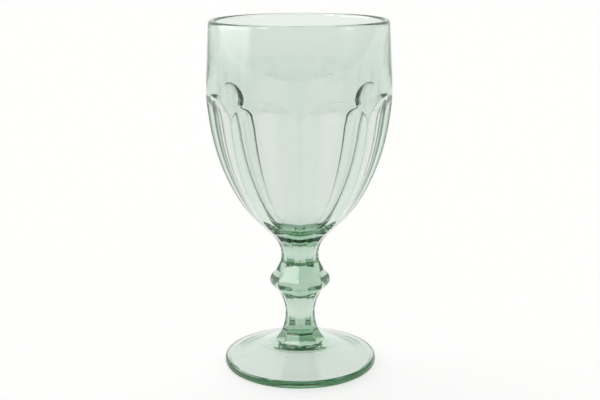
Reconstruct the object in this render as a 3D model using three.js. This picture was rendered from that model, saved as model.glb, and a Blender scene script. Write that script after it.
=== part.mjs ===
// A pressed glass goblet in millimetres, +Z up, standing on z = 0 with its axis on Z.
// Foot, stem and bowl are three solids that meet face to face on flat eight-sided seats.
import * as THREE from 'three';

// Overall size
const HEIGHT = 172.5;
const LIP_ROUND = 1.5; // the lip is a half round this far in and up

// Eight flat sides run from the foot to the arches under the lip band, with their ribs in line
const SIDES = 8;
const STEPS = 8; // angular steps on one side
const HALF = Math.PI / SIDES;

// Seats between the three solids
const FOOT_SEAT = 20;
const BOWL_SEAT = 56.3;

// Foot
const FOOT_RADIUS = 38.1;
const FOOT_EDGE = 4.4; // height of the upper corner of the rim of the foot
const FOOT_WIDEST = 2.3;
const EDGE_ROUND_UNDER = 1.6; // how far in the edge is rounded below and above
const EDGE_ROUND_TOP = 1.1;
const STAND_WIDTH = 2.2; // flat ring that the goblet stands on
const KICK = 7.5; // rise of the hollow under the foot, which keeps the foot's glass evenly thin
const CONE = { r: 14, z: 11.5 }; // where the low cone turns up into the stem
const LOBE_END = 11.8; // where the flat sides run out on the foot
const LOBE_FULL = 13.3; // where they have their full width

// Stem, radii measured at the ribs
const WAIST = { r: 7.42, z: 26.5 };
const NECK = { r: 9.32, z: BOWL_SEAT };
const BEAD = { r: 10.26, z: 43.6, round: 4.78 }; // centre of the round of the knop
const COLLAR_LOW = { r: 10.85, z: 37.2 };
const COLLAR_HIGH = { r: 11.9, z: 48.6 };
const STEP_HIGH = { r: 11.15, z: 50.3 };

// Bowl, radii measured at the ribs
const CUP = { r: 25.9, z: 78.6 };
const CUP_SLOPE = 0.8; // radius gained for each millimetre of height there
const BULGE = { r: 44.9, z: 138.3 };
const MOUTH_TAPER = 1.65; // how far the lip band draws in from the bulge to the rim
const RIM = { r: BULGE.r - MOUTH_TAPER, z: HEIGHT - LIP_ROUND };
const PANEL_FLAT = 0.96; // 1 is flat from rib to rib, 0 is round
const FLAT_FROM = 64.5; // flat from rib to rib below here
const PANEL_FROM = 82; // the panels' own flatness from here up
const ARCH_BASE = 127;
const ARCH_TOP = 138.4;

// Cavity: the wall measured level from the outline at a rib, and the glass under it
const CUP_WALL = 5;
const BAND_WALL = 4.9;
const BASE_GLASS = 14.7;
const CAVITY_FLOOR = BOWL_SEAT + BASE_GLASS;
const CAVITY_CUP = { r: CUP.r - CUP_WALL, z: CUP.z };
const CAVITY_WIDEST = { r: BULGE.r - BAND_WALL, z: BULGE.z + 6.2 };

// A curve from a to b that leaves a by the step out and comes to b by the step back
const point = (p, r = 0, z = 0) => new THREE.Vector2(p.r + r, p.z + z);
const curve = (a, out, b, back) =>
  new THREE.CubicBezierCurve(point(a), point(a, ...out), point(b, ...back), point(b));
const line = (a, b) => new THREE.LineCurve(point(a), point(b));

// The knop is a bead with a 45 degree cone above and below it
const tangent = BEAD.round * Math.SQRT1_2;
const beadLow = { r: BEAD.r + tangent, z: BEAD.z - tangent };
const beadHigh = { r: BEAD.r + tangent, z: BEAD.z + tangent };
const coneFoot = { r: COLLAR_HIGH.r, z: beadLow.z - (beadLow.r - COLLAR_HIGH.r) };

// The outline along a rib, from the corner of the foot to the lip, in pieces that each climb
const footTop = { r: FOOT_RADIUS - EDGE_ROUND_TOP, z: FOOT_EDGE };
const outline = [
  curve(footTop, [-5.5, 1.2], CONE, [5, -2.3]),
  curve(CONE, [-4.5, 2.25], WAIST, [0, -6]),
  curve(WAIST, [0, 4], COLLAR_LOW, [-1.8, -2.3]),
  line(COLLAR_LOW, coneFoot),
  line(coneFoot, beadLow),
  new THREE.EllipseCurve(BEAD.r, BEAD.z, BEAD.round, BEAD.round, -Math.PI / 4, Math.PI / 4),
  line(beadHigh, COLLAR_HIGH),
  line(COLLAR_HIGH, STEP_HIGH),
  curve(STEP_HIGH, [-0.7, 1.6], NECK, [0, -3.3]),
  curve(NECK, [0, 9.6], CUP, [-9.9 * CUP_SLOPE, -9.9]),
  curve(CUP, [4.9 * CUP_SLOPE, 4.9], BULGE, [-0.62, -34.6]),
  curve(BULGE, [0, 5.3], RIM, [0.5, -10.5]),
];

// The wall of the cavity, from its floor on the axis to the lip
const cavityFloor = { r: 0, z: CAVITY_FLOOR };
const inner = { r: RIM.r - 2 * LIP_ROUND, z: RIM.z };
const cavity = [
  curve(cavityFloor, [9, 0], CAVITY_CUP, [-5, -5.3]),
  curve(CAVITY_CUP, [6.5, 8.1], CAVITY_WIDEST, [0, -37]),
  curve(CAVITY_WIDEST, [0, 8], inner, [0.15, -8.5]),
];

// Radius of the outline at height z, by halving
function radiusAt(z) {
  const piece = outline.find((c) => z <= c.getPoint(1).y + 1e-9) ?? outline[outline.length - 1];
  let low = 0;
  let high = 1;
  for (let i = 0; i < 40; i++) {
    const mid = (low + high) / 2;
    if (piece.getPoint(mid).y < z) low = mid;
    else high = mid;
  }
  return piece.getPoint((low + high) / 2).x;
}

// How flat the eight sides are at height z: each end of a side is a quarter ellipse, so it is an arch
function flatness(z) {
  if (z <= LOBE_END || z >= ARCH_TOP) return 0;
  if (z < LOBE_FULL) {
    const t = (LOBE_FULL - z) / (LOBE_FULL - LOBE_END);
    return Math.sqrt(1 - t * t);
  }
  const swell = THREE.MathUtils.smoothstep(z, FLAT_FROM, PANEL_FROM);
  const flat = THREE.MathUtils.lerp(1, PANEL_FLAT, swell);
  if (z <= ARCH_BASE) return flat;
  const t = (z - ARCH_BASE) / (ARCH_TOP - ARCH_BASE);
  return flat * Math.sqrt(1 - t * t);
}

// One closed section: the round of radius r cut by eight flats, or left round where flat is 0
function section(r, z, flat, steps = STEPS) {
  const reach = r * (1 - (1 - Math.cos(HALF)) * flat);
  const ring = [];
  for (let i = 0; i < SIDES * steps; i++) {
    const fromMiddle = ((i % steps) / steps) * 2 * HALF - HALF;
    const angle = -Math.PI / 2 + (i / (SIDES * steps)) * 2 * Math.PI;
    const radius = Math.min(r, reach / Math.cos(fromMiddle));
    ring.push([radius * Math.cos(angle), radius * Math.sin(angle), z]);
  }
  return ring;
}

// Heights from a to b in n steps, without b
function heights(a, b, n) {
  return Array.from({ length: n }, (_, i) => a + ((b - a) * i) / n);
}

const outside = (z, steps) => section(radiusAt(z), z, flatness(z), steps);
const round = (r, z) => section(r, z, 0);

// A closed loft through rings of the same count, ended by a point on the axis at each end
function loft(rings, startZ, endZ) {
  const n = rings[0].length;
  const points = [[0, 0, startZ], ...rings.flat(), [0, 0, endZ]];
  const last = points.length - 1;
  const faces = [];
  for (let i = 0; i < n; i++) {
    const j = (i + 1) % n;
    faces.push(0, 1 + j, 1 + i);
    for (let k = 0; k < rings.length - 1; k++) {
      const a = 1 + k * n;
      const b = a + n;
      faces.push(a + i, a + j, b + j, a + i, b + j, b + i);
    }
    faces.push(last, last - n + i, last - n + j);
  }
  const geometry = new THREE.BufferGeometry();
  geometry.setAttribute('position', new THREE.Float32BufferAttribute(points.flat(), 3));
  geometry.setIndex(faces);
  geometry.computeVertexNormals();
  return geometry;
}

// Foot: hollow underneath, standing ring, rounded edge, low cone and the eight lobes up to the seat
function makeFoot() {
  const rings = [];
  const standOuter = FOOT_RADIUS - EDGE_ROUND_UNDER;
  const standInner = standOuter - STAND_WIDTH;
  const hollow = curve({ r: 0, z: KICK }, [12, 0], { r: standInner, z: 0 }, [-9, 2.4]);
  for (const t of [0.2, 0.4, 0.6, 0.8, 1]) {
    const p = hollow.getPoint(t);
    rings.push(round(p.x, p.y));
  }
  rings.push(round(standOuter, 0));
  for (const t of [0.25, 0.5, 0.75, 1]) {
    const a = (t * Math.PI) / 2;
    const r = standOuter + EDGE_ROUND_UNDER * Math.sin(a);
    rings.push(round(r, FOOT_WIDEST * (1 - Math.cos(a))));
  }
  for (const t of [0.33, 0.67, 1]) {
    const a = (t * Math.PI) / 2;
    const r = footTop.r + EDGE_ROUND_TOP * Math.cos(a);
    rings.push(round(r, FOOT_WIDEST + (footTop.z - FOOT_WIDEST) * Math.sin(a)));
  }
  const climb = [
    ...heights(footTop.z, LOBE_END, 8).slice(1),
    ...heights(LOBE_END, LOBE_FULL, 4),
    ...heights(LOBE_FULL, FOOT_SEAT, 6),
    FOOT_SEAT,
  ];
  for (const z of climb) rings.push(outside(z));
  return loft(rings, KICK, FOOT_SEAT);
}

// Stem: eight flat sides from the waist over the knop to the neck
function makeStem() {
  const climb = [
    ...heights(FOOT_SEAT, COLLAR_LOW.z, 9),
    COLLAR_LOW.z,
    coneFoot.z,
    ...heights(beadLow.z, beadHigh.z, 6),
    beadHigh.z,
    COLLAR_HIGH.z,
    ...heights(STEP_HIGH.z, BOWL_SEAT, 5),
    BOWL_SEAT,
  ];
  return loft(climb.map((z) => outside(z, 1)), FOOT_SEAT, BOWL_SEAT);
}

// Bowl: solid base, arched panels, plain band, half round lip and the cavity
function makeBowl() {
  const climb = [
    ...heights(BOWL_SEAT, CUP.z, 9),
    ...heights(CUP.z, ARCH_BASE, 12),
    ...heights(ARCH_BASE, ARCH_TOP, 10).map((z) => {
      const t = (z - ARCH_BASE) / (ARCH_TOP - ARCH_BASE);
      return ARCH_BASE + (ARCH_TOP - ARCH_BASE) * Math.sin((t * Math.PI) / 2);
    }),
    ...heights(ARCH_TOP, RIM.z, 5),
  ];
  const rings = climb.map((z) => outside(z));
  for (let i = 0; i <= 6; i++) {
    const a = (i / 6) * Math.PI;
    rings.push(round(RIM.r - LIP_ROUND + LIP_ROUND * Math.cos(a), RIM.z + LIP_ROUND * Math.sin(a)));
  }
  for (const t of [0.33, 0.67, 1]) {
    const p = cavity[2].getPoint(1 - t);
    rings.push(round(p.x, p.y));
  }
  for (const t of heights(0, 1, 11).slice(1)) {
    const p = cavity[1].getPoint(1 - t);
    rings.push(round(p.x, p.y));
  }
  for (const t of [1, 0.8, 0.6, 0.4, 0.2]) {
    const p = cavity[0].getPoint(t);
    rings.push(round(p.x, p.y));
  }
  return loft(rings, BOWL_SEAT, CAVITY_FLOOR);
}

// Pale green pressed glass
const glass = () => new THREE.MeshStandardMaterial({ color: 0xcfe3d4, roughness: 0.04, metalness: 0 });

const goblet = new THREE.Group();
for (const [name, geometry] of [
  ['foot', makeFoot()],
  ['stem', makeStem()],
  ['bowl', makeBowl()],
]) {
  const mesh = new THREE.Mesh(geometry, glass());
  mesh.name = name;
  goblet.add(mesh);
}

export default goblet;
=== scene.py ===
# %% [markdown]
# # A goblet of pressed green glass
#
# The goblet is clear glass with a pale green tint: a round lip, eight flat panels with arched tops
# round the bowl, a knop on the stem and a broad foot. Everything here stands in the frame of the
# imported CAD model, in metres, with the goblet's axis on Z and its foot on z = 0. So the first
# step loads that frame, before anything is added to it.

# %% Load the frame
import math

import bpy
import numpy as np
from mathutils import Matrix, Vector


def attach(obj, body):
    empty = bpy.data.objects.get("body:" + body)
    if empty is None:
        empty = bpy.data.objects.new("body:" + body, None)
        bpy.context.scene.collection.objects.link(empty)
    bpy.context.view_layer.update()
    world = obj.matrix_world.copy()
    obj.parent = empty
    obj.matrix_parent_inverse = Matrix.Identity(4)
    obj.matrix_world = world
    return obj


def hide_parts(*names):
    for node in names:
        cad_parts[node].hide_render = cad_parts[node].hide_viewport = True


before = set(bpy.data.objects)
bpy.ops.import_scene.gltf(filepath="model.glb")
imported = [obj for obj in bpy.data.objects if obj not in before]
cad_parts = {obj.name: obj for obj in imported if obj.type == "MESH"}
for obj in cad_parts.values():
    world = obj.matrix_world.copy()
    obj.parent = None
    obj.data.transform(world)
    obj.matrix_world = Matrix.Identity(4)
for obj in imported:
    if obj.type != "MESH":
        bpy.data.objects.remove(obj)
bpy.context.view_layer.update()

MM = 0.001

# %% [markdown]
# ## Camera
#
# A camera can be placed by eye or worked out from shapes in the picture whose real form is known.
# Here the two ellipses of the lip and the one of the foot are circles in reality, so they give the
# distance, the height and the downward tilt. The picture is 600 pixels wide, and its focal length in
# pixels becomes a lens in millimetres on a 36 mm sensor.

# %% Camera
PICTURE_WIDTH = 600
FOCAL_PIXELS = 1108
SENSOR = 36
CAMERA_BACK = 531.2 * MM
CAMERA_HEIGHT = 212.6 * MM
CAMERA_TILT = math.radians(13.59)
CAMERA_ROLL = math.radians(-0.23)  # it was not held quite level
CAMERA_ASIDE = 0.15 * MM  # to the right of a rib of the goblet
NEAREST, FARTHEST = 0.01, 50  # metres from the camera that are drawn

camera_data = bpy.data.cameras.new("camera")
camera_data.sensor_width = SENSOR
camera_data.lens = SENSOR * FOCAL_PIXELS / PICTURE_WIDTH
camera_data.clip_start, camera_data.clip_end = NEAREST, FARTHEST
camera = bpy.data.objects.new("camera", camera_data)
stand = Matrix.Translation((CAMERA_ASIDE, -CAMERA_BACK, CAMERA_HEIGHT))
aimed = Matrix.Rotation(math.pi / 2 - CAMERA_TILT, 4, "X") @ Matrix.Rotation(CAMERA_ROLL, 4, "Z")
camera.matrix_world = stand @ aimed
bpy.context.scene.collection.objects.link(camera)
bpy.context.scene.camera = camera
print("lens in mm:", round(camera_data.lens, 2))

# %% [markdown]
# ## Two small helpers
#
# Node trees are built in code, and each node needs the same three things: its kind, its settings, and
# what goes into its inputs. One function does that for every tree in this file. Colours are written
# as the hex values that a colour picker shows, which are sRGB, while the renderer works with linear
# light, so a second function turns one into the other.

# %% Helpers
def add_node(tree, kind, inputs=None, **settings):
    """Adds a node; each input is named or numbered and takes a value or another node's output."""
    node = tree.nodes.new(kind)
    for name, value in settings.items():
        setattr(node, name, value)
    for key, value in (inputs or {}).items():
        if isinstance(value, bpy.types.NodeSocket):
            tree.links.new(value, node.inputs[key])
        else:
            node.inputs[key].default_value = value
    return node


def linear(hex_colour):
    """An sRGB hex colour as linear red, green, blue and alpha."""
    parts = [int(hex_colour[i:i + 2], 16) / 255 for i in (1, 3, 5)]
    return [c / 12.92 if c <= 0.04045 else ((c + 0.055) / 1.055) ** 2.4 for c in parts] + [1]


print("a middle grey in linear light:", [round(c, 3) for c in linear("#808080")])

# %% [markdown]
# ## The outline
#
# A pressed goblet is round in plan apart from its flats, so one half of its section says nearly
# everything: the hollow under the foot, the rounded edge of the foot, the stem with its knop, the
# bowl, the lip, and back down the inside to the bottom of the cavity. It could be traced with a curve
# tool, but written as sizes it stays in step with the CAD model, whose values these are. Each place is
# a radius at a rib and a height, in millimetres, and the free runs are Bezier curves.

# %% Sizes of the outline
HEIGHT = 172.5
LIP_ROUND = 1.5
FOOT_RADIUS, FOOT_EDGE, FOOT_WIDEST = 38.1, 4.4, 2.3
EDGE_ROUND_UNDER, EDGE_ROUND_TOP = 1.6, 1.1
STAND_WIDTH, KICK = 2.2, 7.5  # the flat ring that it stands on, and the rise of the hollow inside it
CONE = (14, 11.5)
WAIST = (7.42, 26.5)
NECK = (9.32, 56.3)
BEAD, BEAD_ROUND = (10.26, 43.6), 4.78  # centre and radius of the round of the knop
COLLAR_LOW, COLLAR_HIGH, STEP_HIGH = (10.85, 37.2), (11.9, 48.6), (11.15, 50.3)
CUP, CUP_SLOPE = (25.9, 78.6), 0.8  # the slope is the radius gained for each millimetre of height
BULGE = (44.9, 138.3)
MOUTH_TAPER = 1.65  # how far the band draws in from the bulge to the rim
RIM = (BULGE[0] - MOUTH_TAPER, HEIGHT - LIP_ROUND)
CUP_WALL, BAND_WALL = 5, 4.9  # glass at a rib, measured level
WIDEST_ABOVE = 6.2  # the cavity is widest this far above the bulge
CAVITY_FLOOR = (0, 71)
CAVITY_CUP = (CUP[0] - CUP_WALL, CUP[1])
CAVITY_WIDEST = (BULGE[0] - BAND_WALL, BULGE[1] + WIDEST_ABOVE)
CAVITY_RIM = (RIM[0] - 2 * LIP_ROUND, RIM[1])
print("widest, mouth and foot in mm:", 2 * BULGE[0], 2 * RIM[0], 2 * FOOT_RADIUS)


# %% Curves, arcs and the underside
def bezier(start, leave, end, arrive, steps=400):
    """Points of a Bezier curve whose handles are given as steps from its two ends."""
    t = np.linspace(0, 1, steps)[:, None]
    a, d = np.array(start, float), np.array(end, float)
    b, c = a + leave, d + arrive
    return (1 - t) ** 3 * a + 3 * (1 - t) ** 2 * t * b + 3 * (1 - t) * t ** 2 * c + t ** 3 * d


def arc(centre, across, up, start, end, steps=120):
    """Points of an elliptic arc from one angle to another, in degrees."""
    a = np.radians(np.linspace(start, end, steps))
    return np.stack([centre[0] + across * np.cos(a), centre[1] + up * np.sin(a)], axis=1)


stand_outer = FOOT_RADIUS - EDGE_ROUND_UNDER
stand_inner = stand_outer - STAND_WIDTH
underside = [
    bezier((0, KICK), (12, 0), (stand_inner, 0), (-9, 2.4)),
    arc((stand_outer, FOOT_WIDEST), EDGE_ROUND_UNDER, FOOT_WIDEST, -90, 0),
    arc((FOOT_RADIUS - EDGE_ROUND_TOP, FOOT_WIDEST), EDGE_ROUND_TOP, FOOT_EDGE - FOOT_WIDEST, 0, 90),
]
print("standing ring in mm:", round(stand_inner, 2), "to", round(stand_outer, 2))

# %% Outside, lip and cavity
foot_top = (FOOT_RADIUS - EDGE_ROUND_TOP, FOOT_EDGE)
tangent = BEAD_ROUND * math.sqrt(0.5)
bead_low = (BEAD[0] + tangent, BEAD[1] - tangent)
cone_foot = (COLLAR_HIGH[0], bead_low[1] - (bead_low[0] - COLLAR_HIGH[0]))
outside = [
    bezier(foot_top, (-5.5, 1.2), CONE, (5, -2.3)),
    bezier(CONE, (-4.5, 2.25), WAIST, (0, -6)),
    bezier(WAIST, (0, 4), COLLAR_LOW, (-1.8, -2.3)),
    np.array([cone_foot, bead_low]),
    arc(BEAD, BEAD_ROUND, BEAD_ROUND, -45, 45),
    np.array([COLLAR_HIGH, STEP_HIGH]),
    bezier(STEP_HIGH, (-0.7, 1.6), NECK, (0, -3.3)),
    bezier(NECK, (0, 9.6), CUP, (-9.9 * CUP_SLOPE, -9.9)),
    bezier(CUP, (4.9 * CUP_SLOPE, 4.9), BULGE, (-0.62, -34.6)),
    bezier(BULGE, (0, 5.3), RIM, (0.5, -10.5)),
]
lip = [arc((RIM[0] - LIP_ROUND, RIM[1]), LIP_ROUND, LIP_ROUND, 0, 180)]
cavity = [
    bezier(CAVITY_FLOOR, (9, 0), CAVITY_CUP, (-5, -5.3)),
    bezier(CAVITY_CUP, (6.5, 8.1), CAVITY_WIDEST, (0, -37)),
    bezier(CAVITY_WIDEST, (0, 8), CAVITY_RIM, (0.15, -8.5)),
]
cavity = [piece[::-1] for piece in reversed(cavity)]  # drawn upwards, and used from the lip down
print("pieces of the outline:", len(underside + outside + lip + cavity))

# %% [markdown]
# ## Softened creases
#
# A press mould leaves crisp creases, and the flame that polishes the glass afterwards melts them to a
# small round. That round matters here: in glass a dead sharp edge shows no line of light or dark. A
# bevel would have to be set crease by crease. Averaging the outline over a short length rounds every
# crease by the same amount and leaves the long curves as they are, just as the flame does.

# %% Fire polish
POLISH = 0.6  # mm of the outline that each point is averaged over
FINE = 0.02  # mm between the points that the averaging works on


def evenly(points, spacing):
    """The same line with points at an even spacing."""
    length = np.concatenate([[0], np.cumsum(np.hypot(*np.diff(points, axis=0).T))])
    at = np.linspace(0, length[-1], int(length[-1] / spacing))
    return np.stack([np.interp(at, length, points[:, k]) for k in (0, 1)], axis=1)


def fire_polish(points, reach):
    """Averages the line over a reach, half of it on either side; its two ends stay where they are."""
    n = int(reach / FINE / 2)
    weights = np.hanning(2 * n + 3)[1:-1]
    start, end = 2 * points[0] - points[n:0:-1], 2 * points[-1] - points[-2:-n - 2:-1]
    padded = np.concatenate([start, points, end])
    return np.stack([np.convolve(padded[:, k], weights / weights.sum(), "valid") for k in (0, 1)], 1)


full = evenly(np.concatenate(underside + outside + lip + cavity), FINE)
top = int(full[:, 1].argmax())
smooth = fire_polish(full, POLISH)
print("length of the outline in mm:", round(len(full) * FINE), "lip at point", top)

# %% [markdown]
# ## Flats, arches and lobes
#
# Eight flats are pressed into the round outline. On the stem they run from rib to rib. On the bowl
# they are a little shallower, so that a narrow round rib is left between two panels. Where a flat
# runs out its depth follows an oval, and that alone draws the arch at the top of each panel and the
# lobe at its lower end on the foot. A true ellipse ends in a small step. The lobes have that step, while
# the flame has eased it on the arches, where only the sides show a dark line. The outline needs close
# points where it turns and where the depth of the flats changes fast, and few anywhere else.

# %% Sizes of the flats
SIDES = 8
LOBE_END, LOBE_FULL = 11.8, 13.3
FLAT_FROM, PANEL_FROM, PANEL_FLAT = 64.5, 82, 0.96
ARCH_BASE, ARCH_TOP = 127, 138.4
ARCH_FADE, LOBE_FADE = 0.8, 0.5  # powers: 0.5 is a true ellipse, which ends in a step
ARRIS_SOFT = 0.35  # mm over which a flat blends into the round
RIB_TRIM = 0.15  # share of that by which the round is drawn in, which rounds the ribs too
print("flats from", LOBE_END, "to", ARCH_TOP, "mm")

# %% Choice of points
OUTLINE_POINTS = 320
EVERY_MM, EVERY_TURN, EVERY_FADE = 3, 7, 4  # mm, degrees of turn and of the oval that weigh the same

steps = np.diff(smooth, axis=0)
heading = np.unwrap(np.arctan2(steps[:, 1], steps[:, 0]))
turn = np.abs(np.diff(heading, prepend=heading[0]))
height = smooth[1:, 1]
is_outside = np.arange(len(height)) < top
arch = np.arcsin(np.clip((height - ARCH_BASE) / (ARCH_TOP - ARCH_BASE), 0, 1))
lobe = np.arcsin(np.clip((LOBE_FULL - height) / (LOBE_FULL - LOBE_END), 0, 1))
easing = np.abs(np.diff(arch - lobe, prepend=arch[0] - lobe[0])) * is_outside
need = np.cumsum(FINE / EVERY_MM + np.degrees(turn) / EVERY_TURN + np.degrees(easing) / EVERY_FADE)
need = np.concatenate([[0], need])
wanted = np.linspace(0, need[-1], OUTLINE_POINTS)
chosen = np.unique(np.searchsorted(need, wanted).clip(0, len(need) - 1))
profile = smooth[chosen]
profile[0, 0] = profile[-1, 0] = 0
print("points of the outline:", len(profile))

# %% Outline as a mesh line
line_mesh = bpy.data.meshes.new("outline")
line_mesh.from_pydata([(r * MM, 0, z * MM) for r, z in profile], [], [])
flat_side = line_mesh.attributes.new("outside", "FLOAT", "POINT")
flat_side.data.foreach_set("value", (chosen < top).astype(float))
goblet_source = bpy.data.objects.new("outline", line_mesh)
bpy.context.scene.collection.objects.link(goblet_source)
print("points on the outside, which the flats are pressed into:", int((chosen < top).sum()))

# %% [markdown]
# ## Glass
#
# Soda lime glass, pressed and fire polished. It is clear, and its green comes from a trace of iron in
# the whole mass, so a thin wall looks almost white and a thick base deep green. A tint painted on the
# surface would look the same everywhere. Volume Absorption darkens light by the length of its way
# through the glass instead. The surface is smooth, with the faint unevenness that the cool mould
# leaves, a long soft wave and a finer ripple, which makes the lines seen through it waver.

# %% Material of the goblet
GLASS_IOR = 1.52  # soda lime glass
GLASS_SKIN = "#F6F7F6"  # what passes a surface, which the mould left faintly grey
GLASS_TINT = "#A0D1AE"
GLASS_DENSITY = 47  # absorption for each metre of glass, times what the tint lacks
GLASS_ROUGHNESS = (0.0, 0.02)
WAVE_MM, RIPPLE_MM = 16, 5  # widths of the two unevennesses
WAVE_HEIGHT, RIPPLE_HEIGHT = 0.02, 0.004  # mm
DULL_FROM, DULL_TO = 0.35, 0.75  # the roughness rises between these heights of the wave

glass = bpy.data.materials.new("pressed_soda_lime_glass")
glass.use_nodes = True
tree = glass.node_tree
tree.nodes.clear()
place = add_node(tree, "ShaderNodeTexCoord").outputs["Object"]
wave = add_node(tree, "ShaderNodeTexNoise", {"Vector": place, "Scale": 1 / (WAVE_MM * MM), "Detail": 1.0})
ripple = add_node(tree, "ShaderNodeTexNoise", {
    "Vector": place, "Scale": 1 / (RIPPLE_MM * MM), "Detail": 2.0})
wave_bump = add_node(tree, "ShaderNodeBump", {
    "Height": wave.outputs[0], "Distance": WAVE_HEIGHT * MM, "Strength": 1.0})
ripple_bump = add_node(tree, "ShaderNodeBump", {
    "Height": ripple.outputs[0], "Distance": RIPPLE_HEIGHT * MM, "Strength": 1.0,
    "Normal": wave_bump.outputs[0]})
polish = add_node(tree, "ShaderNodeMapRange", {
    "Value": wave.outputs[0], "From Min": DULL_FROM, "From Max": DULL_TO,
    "To Min": GLASS_ROUGHNESS[0], "To Max": GLASS_ROUGHNESS[1]})
surface = add_node(tree, "ShaderNodeBsdfPrincipled", {
    "Base Color": linear(GLASS_SKIN), "Transmission Weight": 1.0, "IOR": GLASS_IOR,
    "Roughness": polish.outputs[0], "Normal": ripple_bump.outputs[0]})
mass = add_node(tree, "ShaderNodeVolumeAbsorption", {"Color": linear(GLASS_TINT), "Density": GLASS_DENSITY})
add_node(tree, "ShaderNodeOutputMaterial", {"Surface": surface.outputs[0], "Volume": mass.outputs[0]})
print("absorption per metre:", [round(GLASS_DENSITY * (1 - c), 1) for c in linear(GLASS_TINT)[:3]])

# %% [markdown]
# ## Turning the outline with Geometry Nodes
#
# The body of the goblet follows one rule: every point of the outline goes round the axis, and its
# distance from the axis is the smaller of the round and the flat there. A lathe such as Screw or Spin
# only makes the round. The tree starts from a plain grid instead, with one row of points for each
# angle and one column for each point of the outline, and puts every point in its place by that rule.
# The foot, the stem and the bowl are fused while hot and have no face inside, so they are one closed
# skin. An inner face would mirror light that real glass lets through.

# %% Inputs of the tree
turning = bpy.data.node_groups.new("turned_with_flats", "GeometryNodeTree")
sockets = {}
for name, kind in [
    ("Geometry", "Geometry"), ("Sides", "Int"), ("Columns per side", "Int"), ("Arris softness", "Float"),
    ("Lobe end", "Float"), ("Lobe full", "Float"), ("Flat from", "Float"), ("Panel from", "Float"),
    ("Panel flatness", "Float"), ("Arch base", "Float"), ("Arch top", "Float"), ("Material", "Material"),
]:
    sockets[name] = turning.interface.new_socket(
        name=name, in_out="INPUT", socket_type="NodeSocket" + kind)
turning.interface.new_socket(name="Geometry", in_out="OUTPUT", socket_type="NodeSocketGeometry")
given = add_node(turning, "NodeGroupInput").outputs
print("inputs of the tree:", len(sockets))

# %% A grid with a row for each angle
columns = add_node(turning, "ShaderNodeMath", {
    0: given["Sides"], 1: given["Columns per side"]}, operation="MULTIPLY").outputs[0]
rows = add_node(turning, "ShaderNodeMath", {0: columns, 1: 1.0}, operation="ADD").outputs[0]
count = add_node(turning, "GeometryNodeAttributeDomainSize", {
    "Geometry": given["Geometry"]}, component="MESH").outputs["Point Count"]
grid = add_node(turning, "GeometryNodeMeshGrid", {"Vertices X": rows, "Vertices Y": count})
index = add_node(turning, "GeometryNodeInputIndex").outputs[0]
turned = add_node(turning, "FunctionNodeIntegerMath", {
    0: index, 1: count}, operation="DIVIDE_FLOOR").outputs[0]
along = add_node(turning, "FunctionNodeIntegerMath", {
    0: index, 1: count}, operation="MODULO").outputs[0]
print("nodes with the grid:", len(turning.nodes))

# %% Radius, height and side of the glass at each point
position = add_node(turning, "GeometryNodeInputPosition").outputs[0]
on_line = add_node(turning, "GeometryNodeSampleIndex", {
    "Geometry": given["Geometry"], "Value": position, "Index": along}, data_type="FLOAT_VECTOR")
on_line = add_node(turning, "ShaderNodeSeparateXYZ", {0: on_line.outputs[0]}).outputs
radius, rise = on_line["X"], on_line["Z"]
named = add_node(turning, "GeometryNodeInputNamedAttribute", {"Name": "outside"}, data_type="FLOAT")
outer = add_node(turning, "GeometryNodeSampleIndex", {
    "Geometry": given["Geometry"], "Value": named.outputs[0], "Index": along}, data_type="FLOAT").outputs[0]
print("nodes with the outline:", len(turning.nodes))

# %% [markdown]
# ### Angles
#
# A side is straight over most of its width and turns at its ribs. With the columns at an even spacing
# the ribs would be coarse, or the grid far finer than the rest needs. A sine wave on top of the even
# spacing draws the columns of each side together towards its two ribs.

# %% Angle, with the columns drawn together at the ribs
GATHER = 0.6  # 0 spreads the columns evenly over a side, near 1 gathers them at its ribs
side = add_node(turning, "ShaderNodeMath", {
    0: turned, 1: given["Columns per side"]}, operation="DIVIDE").outputs[0]
whole = add_node(turning, "ShaderNodeMath", {0: side}, operation="FLOOR").outputs[0]
share = add_node(turning, "ShaderNodeMath", {0: side, 1: whole}, operation="SUBTRACT").outputs[0]
cycle = add_node(turning, "ShaderNodeMath", {0: share, 1: math.tau}, operation="MULTIPLY").outputs[0]
cycle = add_node(turning, "ShaderNodeMath", {0: cycle}, operation="SINE").outputs[0]
share = add_node(turning, "ShaderNodeMath", {
    0: cycle, 1: -GATHER / math.tau, 2: share}, operation="MULTIPLY_ADD").outputs[0]
side = add_node(turning, "ShaderNodeMath", {0: whole, 1: share}, operation="ADD").outputs[0]
side_angle = add_node(turning, "ShaderNodeMath", {
    0: math.tau, 1: given["Sides"]}, operation="DIVIDE").outputs[0]
angle = add_node(turning, "ShaderNodeMath", {0: side, 1: side_angle}, operation="MULTIPLY").outputs[0]
angle = add_node(turning, "ShaderNodeMath", {0: angle, 1: -math.pi / 2}, operation="ADD").outputs[0]
from_middle = add_node(turning, "ShaderNodeMath", {0: share, 1: -0.5}, operation="ADD").outputs[0]
from_middle = add_node(turning, "ShaderNodeMath", {
    0: from_middle, 1: side_angle}, operation="MULTIPLY").outputs[0]
print("nodes with the angles:", len(turning.nodes))

# %% [markdown]
# ### Flats
#
# Eight planes and a Boolean could cut the flats, but their arches and lobes are curved cuts. Here the
# depth of a flat is a number at each height: full on the stem, a little less on the bowl, none inside
# the cavity, and fading along an oval at its two ends. The point takes the smaller of the round and
# the flat, and a smooth minimum leaves a soft arris where they meet.

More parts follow.
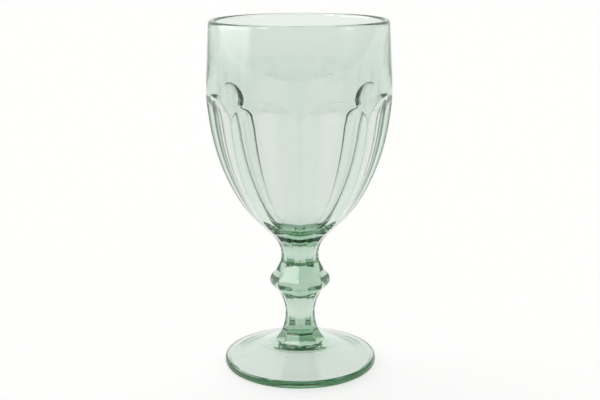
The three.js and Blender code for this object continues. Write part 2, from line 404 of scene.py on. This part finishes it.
# %% How flat the sides are at each height
swell = add_node(turning, "ShaderNodeMapRange", {
    "Value": rise, "From Min": given["Flat from"], "From Max": given["Panel from"],
    "To Min": 1.0, "To Max": given["Panel flatness"]}, interpolation_type="SMOOTHSTEP").outputs[0]
flat = add_node(turning, "ShaderNodeMath", {0: swell, 1: outer}, operation="MULTIPLY").outputs[0]
for full_at, gone_at, fade in (
    ("Arch base", "Arch top", ARCH_FADE), ("Lobe full", "Lobe end", LOBE_FADE),
):
    part = add_node(turning, "ShaderNodeMapRange", {
        "Value": rise, "From Min": given[full_at], "From Max": given[gone_at]}).outputs[0]
    part = add_node(turning, "ShaderNodeMath", {0: part, 1: part}, operation="MULTIPLY").outputs[0]
    part = add_node(turning, "ShaderNodeMath", {0: 1.0, 1: part}, operation="SUBTRACT").outputs[0]
    part = add_node(turning, "ShaderNodeMath", {0: part, 1: fade}, operation="POWER").outputs[0]
    flat = add_node(turning, "ShaderNodeMath", {0: flat, 1: part}, operation="MULTIPLY").outputs[0]
print("nodes with the depth of the flats:", len(turning.nodes))

# %% The smaller of the round and the flat
half = add_node(turning, "ShaderNodeMath", {0: side_angle, 1: 0.5}, operation="MULTIPLY").outputs[0]
half = add_node(turning, "ShaderNodeMath", {0: half}, operation="COSINE").outputs[0]
depth = add_node(turning, "ShaderNodeMath", {0: 1.0, 1: half}, operation="SUBTRACT").outputs[0]
depth = add_node(turning, "ShaderNodeMath", {0: depth, 1: flat}, operation="MULTIPLY").outputs[0]
reach = add_node(turning, "ShaderNodeMath", {0: 1.0, 1: depth}, operation="SUBTRACT").outputs[0]
reach = add_node(turning, "ShaderNodeMath", {0: radius, 1: reach}, operation="MULTIPLY").outputs[0]
slant = add_node(turning, "ShaderNodeMath", {0: from_middle}, operation="COSINE").outputs[0]
flat_radius = add_node(turning, "ShaderNodeMath", {0: reach, 1: slant}, operation="DIVIDE").outputs[0]
soft = add_node(turning, "ShaderNodeMath", {
    0: given["Arris softness"], 1: flat}, operation="MULTIPLY").outputs[0]
trim = add_node(turning, "ShaderNodeMath", {
    0: soft, 1: -RIB_TRIM, 2: radius}, operation="MULTIPLY_ADD").outputs[0]
distance = add_node(turning, "ShaderNodeMath", {
    0: trim, 1: flat_radius, 2: soft}, operation="SMOOTH_MIN").outputs[0]
print("nodes with the distance from the axis:", len(turning.nodes))

# %% Points in place, seam and poles closed
WELD = 0.001 * MM  # the first row and the last lie on each other, and so do the points of a pole
sine = add_node(turning, "ShaderNodeMath", {0: angle}, operation="SINE").outputs[0]
cosine = add_node(turning, "ShaderNodeMath", {0: angle}, operation="COSINE").outputs[0]
across = add_node(turning, "ShaderNodeMath", {0: distance, 1: cosine}, operation="MULTIPLY").outputs[0]
deep = add_node(turning, "ShaderNodeMath", {0: distance, 1: sine}, operation="MULTIPLY").outputs[0]
placed = add_node(turning, "ShaderNodeCombineXYZ", {"X": across, "Y": deep, "Z": rise}).outputs[0]
result = add_node(turning, "GeometryNodeSetPosition", {
    "Geometry": grid.outputs["Mesh"], "Position": placed}).outputs[0]
result = add_node(turning, "GeometryNodeMergeByDistance", {
    "Geometry": result, "Distance": WELD}).outputs[0]
result = add_node(turning, "GeometryNodeSetShadeSmooth", {"Geometry": result}).outputs[0]
result = add_node(turning, "GeometryNodeRealizeInstances", {"Geometry": result}).outputs[0]
result = add_node(turning, "GeometryNodeSetMaterial", {
    "Geometry": result, "Material": given["Material"]}).outputs[0]
add_node(turning, "NodeGroupOutput", {0: result})
print("nodes in the tree:", len(turning.nodes))

# %% The goblet
COLUMNS_PER_SIDE = 32
turner = goblet_source.modifiers.new("turned", "NODES")
turner.node_group = turning
for name, value in {
    "Sides": SIDES, "Columns per side": COLUMNS_PER_SIDE, "Arris softness": ARRIS_SOFT * MM,
    "Lobe end": LOBE_END * MM, "Lobe full": LOBE_FULL * MM,
    "Flat from": FLAT_FROM * MM, "Panel from": PANEL_FROM * MM, "Panel flatness": PANEL_FLAT,
    "Arch base": ARCH_BASE * MM, "Arch top": ARCH_TOP * MM, "Material": glass,
}.items():
    turner[sockets[name].identifier] = value
bpy.context.view_layer.update()
evaluated = goblet_source.evaluated_get(bpy.context.evaluated_depsgraph_get())
goblet_mesh = bpy.data.meshes.new_from_object(evaluated)
goblet_source.modifiers.remove(turner)
bpy.data.objects.remove(goblet_source)

goblet_mesh.name = "goblet"
goblet_mesh.materials.pop(index=0)  # Set Material leaves an empty slot ahead of the glass
goblet = bpy.data.objects.new("goblet_glass", goblet_mesh)
bpy.context.scene.collection.objects.link(goblet)
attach(goblet, "root")
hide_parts("foot", "stem", "bowl")
goblet_mesh.calc_loop_triangles()
slots_used = {polygon.material_index for polygon in goblet_mesh.polygons}
print("triangles:", len(goblet_mesh.loop_triangles), "materials:", goblet_mesh.materials[:], slots_used)

# %% Closed and the right way round
edge_use = np.zeros(len(goblet_mesh.edges), int)
for polygon in goblet_mesh.polygons:
    for key in polygon.loop_indices:
        edge_use[goblet_mesh.loops[key].edge_index] += 1
volume = sum(
    (goblet_mesh.vertices[a].co.cross(goblet_mesh.vertices[b].co)).dot(goblet_mesh.vertices[c].co) / 6
    for a, b, c in (triangle.vertices for triangle in goblet_mesh.loop_triangles)
)
print("edges not shared by two faces:", int((edge_use != 2).sum()), "volume in ml:", round(volume * 1e6, 2))

# %% [markdown]
# ## Floor
#
# The goblet stands on a plain white sheet of paper that runs out of sight behind it. The paper takes
# light and shadow as any matt surface does, and alone it would be grey in this light. More light would
# bring it to white, but would bleach the goblet too. So the paper has a little glow of its own, only
# for what looks at it straight, by mirroring or through glass.

# %% Floor
FLOOR_HALF = 6  # metres from the goblet to its edges
FLOOR_DROP = 0.02 * MM  # keeps the paper and the standing ring out of one plane
FLOOR_COLOUR = "#E6E6E4"
FLOOR_GLOW = 0.615

floor_mesh = bpy.data.meshes.new("floor")
corners = [(x * FLOOR_HALF, y * FLOOR_HALF, -FLOOR_DROP) for x, y in ((-1, -1), (1, -1), (1, 1), (-1, 1))]
floor_mesh.from_pydata(corners, [], [(0, 1, 2, 3)])
floor = bpy.data.objects.new("floor", floor_mesh)
bpy.context.scene.collection.objects.link(floor)

paper = bpy.data.materials.new("matt_white_paper")
paper.use_nodes = True
tree = paper.node_tree
tree.nodes.clear()
path = add_node(tree, "ShaderNodeLightPath").outputs
looked_at = path["Is Camera Ray"]
for kind in ("Is Glossy Ray", "Is Transmission Ray"):
    looked_at = add_node(tree, "ShaderNodeMath", {
        0: looked_at, 1: path[kind]}, operation="MAXIMUM").outputs[0]
glow = add_node(tree, "ShaderNodeMath", {0: looked_at, 1: FLOOR_GLOW}, operation="MULTIPLY").outputs[0]
matt = add_node(tree, "ShaderNodeBsdfDiffuse", {"Color": linear(FLOOR_COLOUR)})
shine = add_node(tree, "ShaderNodeEmission", {"Color": (1, 1, 1, 1), "Strength": glow})
both = add_node(tree, "ShaderNodeAddShader", {0: matt.outputs[0], 1: shine.outputs[0]})
add_node(tree, "ShaderNodeOutputMaterial", {"Surface": both.outputs[0]})
floor_mesh.materials.append(paper)
print("floor in metres:", [round(v, 2) for v in floor.dimensions])

# %% [markdown]
# ## The room
#
# Glass has no look of its own: it shows what stands round it. In an evenly white room its outlines
# would vanish. So the world is a pale wall behind the goblet that passes into a darker room on the
# camera's side and to the right, and what the edges of the glass bend or mirror from there draws them
# dark. What the camera sees of the world past the paper is plain white.

# %% World
BACK_LEVEL = 1.0  # brightness of the pale wall behind the goblet
ROOM_LEVEL = 0.25  # and of the room on the camera's side
PALE_SIDE = (-0.3, 0.95, 0)  # the pale wall lies behind the goblet and reaches further on the left
ROOM_FROM, ROOM_TO = 0.0, 0.6  # where the one passes into the other, along that direction

world = bpy.data.worlds.new("studio")
bpy.context.scene.world = world
world.use_nodes = True
tree = world.node_tree
tree.nodes.clear()
direction = add_node(tree, "ShaderNodeTexCoord").outputs["Generated"]
facing = add_node(tree, "ShaderNodeVectorMath", {
    0: direction, 1: PALE_SIDE}, operation="DOT_PRODUCT").outputs["Value"]
room = add_node(tree, "ShaderNodeMapRange", {
    "Value": facing, "From Min": ROOM_FROM, "From Max": ROOM_TO,
    "To Min": ROOM_LEVEL, "To Max": BACK_LEVEL}, interpolation_type="SMOOTHSTEP").outputs[0]
path = add_node(tree, "ShaderNodeLightPath").outputs
level = add_node(tree, "ShaderNodeMix", {0: path["Is Camera Ray"], 2: room, 3: 1.0}).outputs[0]
background = add_node(tree, "ShaderNodeBackground", {"Color": (1, 1, 1, 1), "Strength": level})
add_node(tree, "ShaderNodeOutputWorld", {"Surface": background.outputs[0]})
print("brightness of the room:", ROOM_LEVEL, "to", BACK_LEVEL)

# %% [markdown]
# ## Windows and a softbox
#
# The pale patch high on the left of the bowl and the smaller one on the right are windows mirrored in
# its wall. The left sides of the knop and of the stem's foot are bright and their right sides are not,
# which takes one narrow lamp: by the mirror angle, a tall softbox to the front left that leans away.
# Area lamps would mirror with a hard edge, and these patches fade out. So each one is a clear sheet
# that glows on one side, less towards its own edges. It shows only where something mirrors it, so the
# level of the light stays that of the room, and the white sheet under the goblet stays just white.

# %% A clear sheet that glows
def glowing(name, width, height, radiance, soft):
    """Glows on one side of a sheet, and fades over the soft share of the way to each edge."""
    material = bpy.data.materials.new(name)
    material.use_nodes = True
    tree = material.node_tree
    tree.nodes.clear()
    point = add_node(tree, "ShaderNodeTexCoord").outputs["Object"]
    point = add_node(tree, "ShaderNodeSeparateXYZ", {0: point}).outputs
    behind = add_node(tree, "ShaderNodeNewGeometry").outputs["Backfacing"]
    strength = add_node(tree, "ShaderNodeMath", {0: 1.0, 1: behind}, operation="SUBTRACT").outputs[0]
    strength = add_node(tree, "ShaderNodeMath", {0: strength, 1: radiance}, operation="MULTIPLY").outputs[0]
    for axis, size in (("X", width), ("Y", height)):
        far = add_node(tree, "ShaderNodeMath", {0: point[axis]}, operation="ABSOLUTE").outputs[0]
        part = add_node(tree, "ShaderNodeMapRange", {
            "Value": far, "From Min": (1 - soft) * size / 2, "From Max": size / 2,
            "To Min": 1.0, "To Max": 0.0}, interpolation_type="SMOOTHSTEP").outputs[0]
        strength = add_node(tree, "ShaderNodeMath", {0: part, 1: strength}, operation="MULTIPLY").outputs[0]
    light = add_node(tree, "ShaderNodeEmission", {"Color": (1, 1, 1, 1), "Strength": strength})
    clear = add_node(tree, "ShaderNodeBsdfTransparent")
    both = add_node(tree, "ShaderNodeAddShader", {0: light.outputs[0], 1: clear.outputs[0]})
    add_node(tree, "ShaderNodeOutputMaterial", {"Surface": both.outputs[0]})
    return material


# %% Windows in place
LAMP_DISTANCE = 1.2  # metres from the bowl
BOWL_MIDDLE = 0.155  # height that the lamps face


def window(name, azimuth, elevation, width, height, radiance, lean, soft):
    """A glowing sheet at angles seen from the bowl, in degrees; azimuth 0 is the camera's side."""
    a, e = math.radians(azimuth), math.radians(elevation)
    away = Vector((math.sin(a) * math.cos(e), -math.cos(a) * math.cos(e), math.sin(e)))
    mesh = bpy.data.meshes.new(name)
    corners = [(x * width / 2, y * height / 2, 0) for x, y in ((-1, -1), (-1, 1), (1, 1), (1, -1))]
    mesh.from_pydata(corners, [], [(0, 1, 2, 3)])
    mesh.materials.append(glowing(name, width, height, radiance, soft))
    sheet = bpy.data.objects.new(name, mesh)
    place = Matrix.Translation(Vector((0, 0, BOWL_MIDDLE)) + away * LAMP_DISTANCE)
    facing = (-away).to_track_quat("-Z", "Y").to_matrix().to_4x4()
    sheet.matrix_world = place @ facing @ Matrix.Rotation(math.radians(lean), 4, "Z")
    sheet.visible_camera = sheet.visible_transmission = sheet.visible_diffuse = False
    bpy.context.scene.collection.objects.link(sheet)
    return sheet


lamps = [
    window("window_left", -89, 17, width=1.5, height=0.9, radiance=5.0, lean=0, soft=0.35),
    window("softbox_left", -53, 41, width=0.27, height=1.4, radiance=5.0, lean=20, soft=0.25),
    window("window_right", 62, 17, width=0.5, height=0.8, radiance=3.0, lean=0, soft=0.4),
]
print("lamps:", [lamp.name for lamp in lamps])

# %% [markdown]
# ## View and bounces
#
# The Standard view shows a colour as it is written. Glass needs more bounces than a solid object,
# because a ray can be thrown to and fro many times inside the stem or a wall before it leaves.

# %% View settings and bounces
BOUNCES, MIRRORINGS = 40, 32  # most that a ray makes in all, and most of them that are mirrorings

scene = bpy.context.scene
scene.view_settings.view_transform = "Standard"
scene.cycles.max_bounces = scene.cycles.transmission_bounces = BOUNCES
scene.cycles.glossy_bounces = MIRRORINGS
